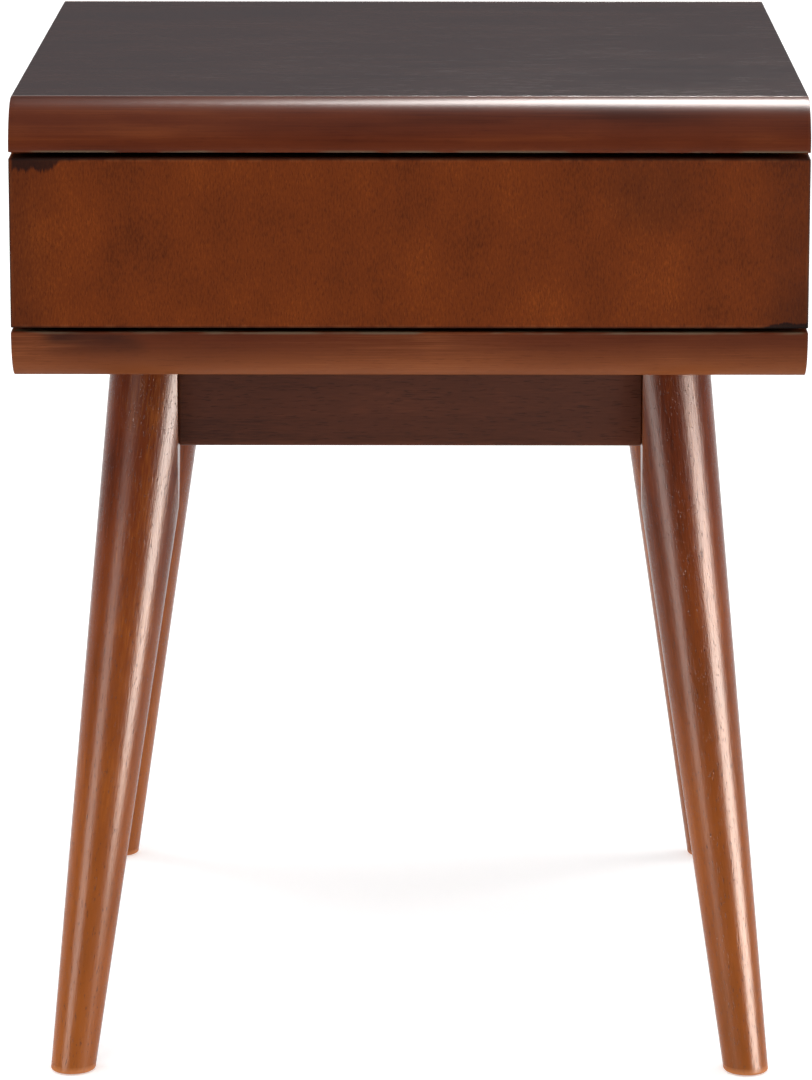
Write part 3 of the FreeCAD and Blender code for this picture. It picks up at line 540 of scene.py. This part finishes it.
# eased edges and their steps, how far from a joint the painted highlight line on the top is cut off, and its
# reach over the edge
boards = {"topEdge": 0.0005, "rearEdge": 0.0006, "drawerEdge": 0.0009, "steps": 3, "paintedLineStart": 0.004,
          "paintedLineReach": 1.2}


def board(name, node, finish, along, edge, joints=False):
    low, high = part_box(node)
    piece = block(name, low, high)
    ease(piece, lambda _: True, edge, boards["steps"])
    frameFaces(piece)
    if joints:
        for place in (low.y + boards["paintedLineStart"], high.y - boards["paintedLineStart"]):
            cut((0, place, 0), (0, 1, 0))

    # the edges along the joints carry a painted highlight line
    def atJoint(spot):
        return min(spot.y - low.y, high.y - spot.y) < edge * boards["paintedLineReach"]

    finishPiece(piece, node, finish, along, worn=atJoint if joints else None)


# eased corners, facets over the round, the flat left at its ends, where the painted glint line is cut off,
# its reach
moulding = {"edge": 0.00045, "steps": 40, "left": 0.0005, "paintedLineStart": 0.004, "paintedLineReach": 1.2}


def makeMouldings():
    for level, finish in (("top", "mouldingWood"), ("bottom", "lowerMouldingWood")):
        low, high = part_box(f"{level}_front_moulding")
        rim = high.z if level == "top" else low.z
        front = block(f"{level}FrontMoulding", low, high)
        radius = min(high.y - low.y, high.z - low.z) - moulding["left"]

        def outerEdge(item):
            spot = middle(item)
            return runsAlong(item, 0) and same(spot.y, low.y) and same(spot.z, rim)

        ease(front, outerEdge, radius, moulding["steps"])
        ease(front, sharp, moulding["edge"])
        for place in (low.x + moulding["paintedLineStart"], high.x - moulding["paintedLineStart"]):
            cut((place, 0, 0), (1, 0, 0))
        bpy.ops.object.mode_set(mode="OBJECT")
        rear = mirrored(front, f"{level}RearMoulding", y=-1)
        near = moulding["edge"] * moulding["paintedLineReach"]

        def atJoint(spot):  # a painted glint line along the joints, not on the ends
            across = min(abs(abs(spot.y) - abs(y)) for y in (low.y, high.y))
            up = min(abs(spot.z - z) for z in (low.z, high.z))
            return max(across, up) < near < min(spot.x - low.x, high.x - spot.x)

        frontFinish = "smearedMoulding" if level == "bottom" else finish
        finishPiece(front, f"{level}_front_moulding", frontFinish, "x", worn=atJoint)
        finishPiece(rear, f"{level}_rear_moulding", finish, "x", worn=atJoint)


sidePanel = {"edge": 0.0005}


def makeSidePanels():
    low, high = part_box("side_panel_left")
    top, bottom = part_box("top_front_moulding")[0].z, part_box("bottom_front_moulding")[1].z
    front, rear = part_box("top_front_moulding")[1].y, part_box("top_rear_moulding")[0].y
    left = block("sidePanelLeft", Vector((low.x, front, low.z)), Vector((high.x, rear, high.z)))
    for level in (top, bottom):
        cut((0, 0, level), (0, 0, 1))
    for plane, reach in ((front, low.y), (rear, high.y)):  # tongues between the mouldings
        pick(left, "FACE", lambda face: same(face.calc_center_median().y, plane)
             and bottom < face.calc_center_median().z < top)
        bpy.ops.mesh.extrude_region_move(TRANSFORM_OT_translate={"value": (0, reach - plane, 0)})
    ease(left, sharp, sidePanel["edge"])
    bpy.ops.object.mode_set(mode="OBJECT")
    right = mirrored(left, "sidePanelRight", x=-1)
    finishPiece(left, "side_panel_left", "caseWood", "z")
    finishPiece(right, "side_panel_right", "caseWood", "z")


def makeBoards():
    board("topPanel", "top_panel", "topWood", "x", boards["topEdge"], joints=True)
    board("rearPanel", "rear_panel", "caseWood", "z", boards["rearEdge"])
    board("drawerFront", "drawer_front", "frontWood", "z", boards["drawerEdge"])


apron = {"edge": 0.0014, "lowerRound": 0.0025, "roundSteps": 5}


def makeAprons():
    for run, (name, other, turn) in enumerate((("front", "rear", {"y": -1}), ("left", "right", {"x": -1}))):
        low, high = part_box(f"apron_{name}")
        piece = block(f"apron{name.title()}", low, high)
        ease(piece, lambda item: runsAlong(item, run) and same(middle(item).z, low.z), apron["lowerRound"],
             apron["roundSteps"])
        ease(piece, sharp, apron["edge"])
        frameFaces(piece)
        bpy.ops.object.mode_set(mode="OBJECT")
        across = mirrored(piece, f"apron{other.title()}", **turn)
        finishPiece(piece, f"apron_{name}", "apronWood", "xy"[run])
        finishPiece(across, f"apron_{other}", "apronWood", "xy"[run])


# topPlace is the axis at the case's underside, from the middle; spare is cut off at both ends;
# the rings keep its facets from being slivers, the first a share footRing of the way up
# the flats that the aprons meet carry a painted lit strip, a share of the legs' edge colour
leg = {"footRadius": 0.0138, "topRadius": 0.028, "topPlace": (0.158, 0.155), "spare": 0.03, "facets": 96,
       "rings": 12, "footRing": 0.012, "footRound": 0.0015, "footSteps": 4, "edge": 0.0005,
       "wornFoot": 0.004, "paintedLitFlatShare": 0.2}


def shapeLeg(foot, head, inner):  # the front left one
    low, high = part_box("leg_front_left")
    length = (head - foot).length
    gain = (leg["topRadius"] - leg["footRadius"]) * leg["spare"] / length
    bpy.ops.object.select_all(action="DESELECT")
    bpy.ops.mesh.primitive_cone_add(
        vertices=leg["facets"], radius1=leg["footRadius"] - gain, radius2=leg["topRadius"] + gain,
        depth=length + 2 * leg["spare"], location=(foot + head) / 2,
        rotation=(head - foot).to_track_quat("Z", "Y").to_euler())
    piece = bpy.context.object
    piece.name = piece.data.name = "legFrontLeft"
    bpy.ops.object.transform_apply(location=True, rotation=True, scale=True)
    bpy.ops.object.mode_set(mode="EDIT")
    cuts = [((0, 0, low.z), (0, 0, -1)), ((0, 0, high.z), (0, 0, 1)),
            ((-inner[0], 0, 0), (1, 0, 0)), ((0, -inner[1], 0), (0, 1, 0))]
    for spot, out in cuts:  # level foot and head, and a flat for each apron
        cut(spot, out, away=True)
    for share in (leg["footRing"], *[step / leg["rings"] for step in range(1, leg["rings"])]):
        cut(foot.lerp(head, share), (0, 0, 1))
    ease(piece, lambda item: same(middle(item).z, low.z) and sharp(item), leg["footRound"], leg["footSteps"])
    ease(piece, lambda item: sharp(item) and middle(item).z > high.z / 2, leg["edge"])
    bpy.ops.object.mode_set(mode="OBJECT")
    return piece


def makeLegs():
    foot = feet["foot_front_left"].copy()
    foot.z = 0
    head = Vector((-leg["topPlace"][0], -leg["topPlace"][1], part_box("leg_front_left")[1].z))
    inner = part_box("apron_front")[1].x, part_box("apron_left")[1].y

    def footWearAndPaintedLitFlats(spot):  # wear on the foot's edge, and a painted lit strip on the flats that the aprons meet
        onFlat = abs(spot.x) < inner[0] + leg["edge"] or abs(spot.y) < inner[1] + leg["edge"]
        return 1 if spot.z < leg["wornFoot"] else onFlat * leg["paintedLitFlatShare"]

    frontLeft = shapeLeg(foot, head, inner)
    rearLeft = mirrored(frontLeft, "legRearLeft", y=-1)
    legs = {("front", "left"): frontLeft, ("front", "right"): mirrored(frontLeft, "legFrontRight", x=-1),
            ("rear", "left"): rearLeft, ("rear", "right"): mirrored(rearLeft, "legRearRight", x=-1)}
    for (end, side), piece in legs.items():
        axis = head - foot
        axis = Vector((axis.x * -sides[side], axis.y * -ends[end], axis.z)).normalized()
        finishPiece(piece, f"leg_{end}_{side}", "legWood", "z", axis, footWearAndPaintedLitFlats)


def cleanCopy(node):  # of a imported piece, with its loose triangles merged; left in edit mode
    piece = nodes[node].copy()
    piece.data = nodes[node].data.copy()
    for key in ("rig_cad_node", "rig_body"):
        del piece[key]
    piece.parent = None
    bpy.context.scene.collection.objects.link(piece)
    words = node.split("_")
    piece.name = piece.data.name = words[0] + "".join(word.title() for word in words[1:])
    only(piece)
    bpy.ops.object.mode_set(mode="EDIT")
    bpy.ops.mesh.select_all(action="SELECT")
    bpy.ops.mesh.remove_doubles(threshold=tolerance["place"])
    return piece


# angles in degrees: triangles flatter than joinTo make one face, edges past easeFrom are eased
drawerBox = {"soften": 0.0008, "steps": 3, "joinTo": 1, "easeFrom": 60}


# the drawer's box is taken from its packed boards, with their corners eased
def makeDrawerBox():
    for node in ("drawer_box_front", "drawer_side_left", "drawer_side_right", "drawer_back"):
        piece = cleanCopy(node)
        bpy.ops.mesh.dissolve_limited(angle_limit=math.radians(drawerBox["joinTo"]))
        bpy.ops.object.mode_set(mode="OBJECT")
        soften = piece.modifiers.new("soften", "BEVEL")
        soften.width = drawerBox["soften"]
        soften.segments = drawerBox["steps"]
        soften.limit_method = "ANGLE"
        soften.angle_limit = math.radians(drawerBox["easeFrom"])
        bpy.ops.object.modifier_apply(modifier=soften.name)
        finishPiece(piece, node, "boxWood", "y" if "side" in node else "x")


def makeSpring():  # the latch spring, from its packed node; the share kept with the plunger in is worked out but not applied
    press = next(joint for joint in frame["joints"] if joint["name"] == "plunger_press")
    low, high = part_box("latch_spring")
    spring = cleanCopy("latch_spring")
    finishPiece(spring, "latch_spring", "springWire", "y")
    kept = 1 - press["range_m"][1] / (high.y - low.y)
    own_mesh(spring)


makeMouldings()
print("mouldings made")
makeSidePanels()
makeBoards()
print("panels made")
makeAprons()
makeLegs()
print("base made")
makeDrawerBox()
makeSpring()
print("drawer box and latch spring made")

# what stays as packed takes its finish from its slot
stained = ("case_stain", "top_stain", "moulding_stain", "front_stain", "apron_stain", "leg_stain")
packedFinish = {**dict.fromkeys(stained, "caseUnderside"),
                "drawer_box_wood": "blockWood", "plywood": "plyWood", "dowel_wood": "beechDowel",
                "block_wood": "blockWood", "slide_steel": "zincPlate", "ball_steel": "polishedBall",
                "cage_plastic": "cagePlastic", "screw_steel": "passivatedScrew",
                "latch_plastic": "latchPlastic", "magnet": "nickelMagnet", "spring_steel": "springWire",
                "strike_steel": "strikePlate", "glide_plastic": "glidePlastic"}


def dressPackedNodes():
    for entry in frame["record"]["subparts"]:
        mesh = nodes[entry["node"]].data
        mesh.materials.clear()
        mesh.materials.append(finishes[packedFinish[entry["material_slot"]]])


dressPackedNodes()
print("packed nodes dressed")

floorLook = {"radius": 30, "sides": 128, "colour": (0.82, 0.82, 0.82), "mottle": (0.80, 0.80, 0.80),
             "patches": 3, "patchSteps": (0.3, 0.7), "gloss": 0.75, "shine": 0.1,
             "glowColour": (1, 1, 1), "glow": 0.42}


def makeFloor():
    bpy.ops.object.select_all(action="DESELECT")
    bpy.ops.mesh.primitive_circle_add(vertices=floorLook["sides"], radius=floorLook["radius"],
                                      fill_type="NGON")
    floor = bpy.context.object
    floor.name = "floor"
    finish = Finish("paleFloor")
    mottle = finish.noise(finish.place("z"), floorLook["patches"], detail=4)
    colour = finish.blend(mottle.rises(*floorLook["patchSteps"]), floorLook["mottle"], floorLook["colour"])
    floor.data.materials.append(finish.done({
        "Base Color": colour, "Roughness": floorLook["gloss"], "Specular IOR Level": floorLook["shine"],
        "Emission Color": floorLook["glowColour"], "Emission Strength": floorLook["glow"]}))


# each softbox: where it stands, what it is aimed at, its width and height, its power in watts, its tint
softboxes = {
    "overhead": {"place": (0.58, 0.55, 1.9), "aim": (0.1, -0.2, 0.6), "size": (1.4, 0.70), "power": 205,
                 "colour": (1.0, 0.98, 0.96)},
    "left": {"place": (-1.25, -1.35, 0.30), "aim": (0, -0.2, 0.3), "size": (0.70, 0.58), "power": 20,
             "colour": (1.0, 0.95, 0.90)},
    "right": {"place": (1.0, -0.75, 0.30), "aim": (0, -0.2, 0.3), "size": (0.60, 0.60), "power": 64,
              "colour": (1.0, 0.92, 0.83)},
}  # left and right stand lower than the top, so that the top doesn't mirror them
# the even lights, for colour: how strong, and in degrees how wide, how far from straight down, from where
evenLights = {
    "frontEven": {"strength": 1.5, "spread": 60, "lean": 42, "turn": -12},
    "rearRight": {"strength": 2.3, "spread": 40, "lean": -74, "turn": -78},
    "rearLeft": {"strength": 1.9, "spread": 40, "lean": -74, "turn": 66},
}
# the sky near the floor and right above, and the share of the way up where one turns into the other
surround = {"level": (0.126, 0.121, 0.130), "overhead": (0.55, 0.55, 0.56), "turn": (0.35, 0.95)}


def makeLights():
    for name, box in softboxes.items():
        light = bpy.data.lights.new(name, "AREA")
        light.shape = "RECTANGLE"
        light.size, light.size_y = box["size"]
        light.energy = box["power"]
        light.color = box["colour"]
        lamp = bpy.data.objects.new(name, light)
        lamp.location = box["place"]
        lamp.rotation_euler = (Vector(box["aim"]) - Vector(box["place"])).to_track_quat("-Z", "Y").to_euler()
        lamp.visible_camera = lamp.visible_diffuse = False  # these make the sheen, the even light the colour
        bpy.context.scene.collection.objects.link(lamp)
    for name, even in evenLights.items():
        light = bpy.data.lights.new(name, "SUN")
        light.energy = even["strength"]
        light.angle = math.radians(even["spread"])
        lamp = bpy.data.objects.new(name, light)
        lamp.rotation_euler = (math.radians(even["lean"]), 0, math.radians(even["turn"]))
        lamp.visible_glossy = False
        bpy.context.scene.collection.objects.link(lamp)
    sky = Finish("studio", "worlds")
    height = sky.node("SeparateXYZ", sockets={"Vector": sky.node("TexCoord")}, output="Z")
    shade = sky.blend(height.rises(*surround["turn"]), surround["level"], surround["overhead"])
    sky.node("OutputWorld", sockets={"Surface": sky.node("Background", sockets={"Color": shade})})
    bpy.context.scene.world = sky.owner


eye = {"place": (0.01645, -3.49262, 1.05224), "downward": 12.41, "turn": 0.328, "lens": 181.25, "sensor": 36}


def makeCamera():
    data = bpy.data.cameras.new("eye")
    data.lens = eye["lens"]
    data.sensor_width = eye["sensor"]
    camera = bpy.data.objects.new("eye", data)
    camera.location = eye["place"]
    camera.rotation_euler = (math.radians(90 - eye["downward"]), 0, math.radians(eye["turn"]))
    bpy.context.scene.collection.objects.link(camera)
    bpy.context.scene.camera = camera


makeFloor()
makeLights()
makeCamera()
bpy.context.scene.view_settings.view_transform = "Standard"
print("floor, lights and camera made")
